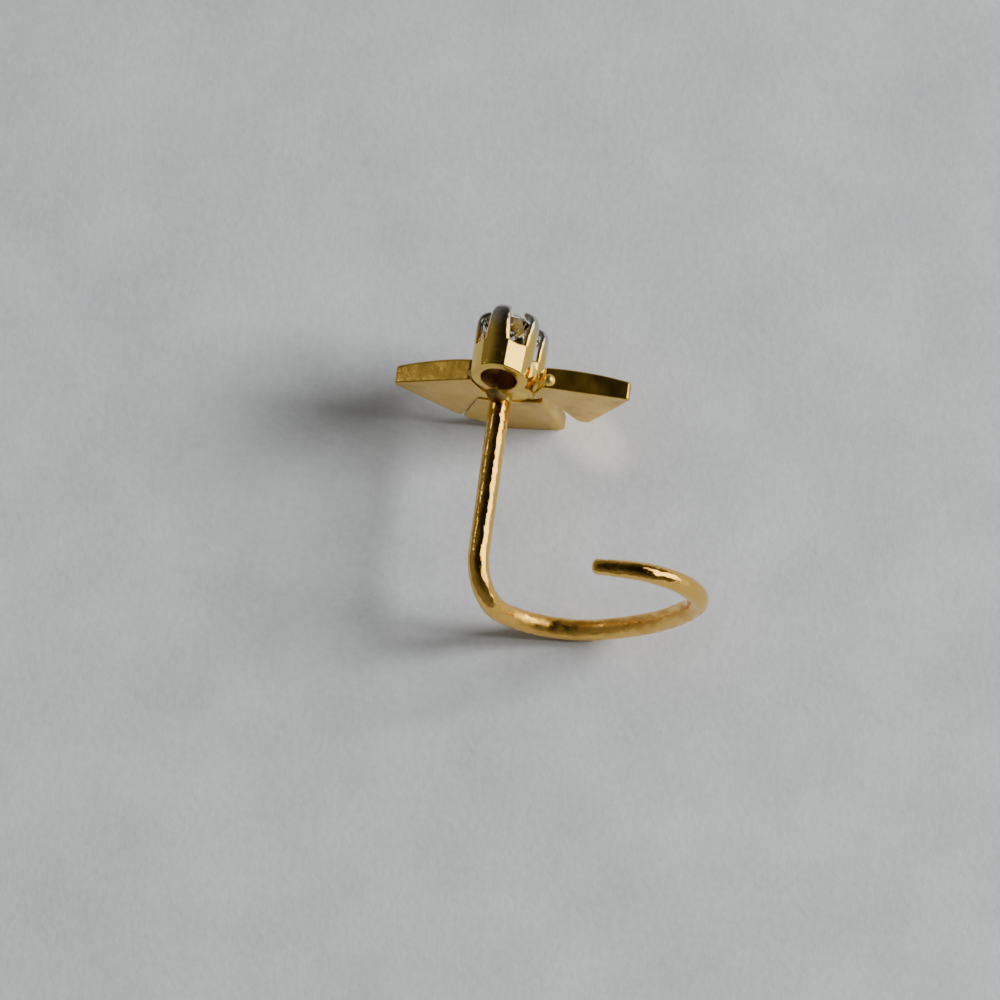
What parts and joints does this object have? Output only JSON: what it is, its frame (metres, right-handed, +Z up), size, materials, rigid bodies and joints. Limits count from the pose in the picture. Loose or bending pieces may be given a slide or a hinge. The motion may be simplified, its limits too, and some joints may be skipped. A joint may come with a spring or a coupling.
{
  "type": "nose stud",
  "caption": "Gold flower nose stud: three flat petals and two claw-set round stones on a straight wire post that bends into an open hook.",
  "frame": {"origin": "on the table under the middle of the stud's bounding box, as the stud lies by itself", "axes": "+Y is the way the stones face, the post runs back along -Y, the hook opens towards +X, +Z is up from the table"},
  "size_m": [0.0132, 0.0112, 0.0083],
  "materials": {
    "yellow_gold": "polished 18 carat yellow gold with satin petal backs and rhodium on the claw tips",
    "diamond": "clear stone, cut and polished as a round brilliant"
  },
  "bodies": {
    "root": {"gold_setting": "yellow_gold", "centre_stone": "diamond", "upper_stone": "diamond"}
  },
  "joints": []
}
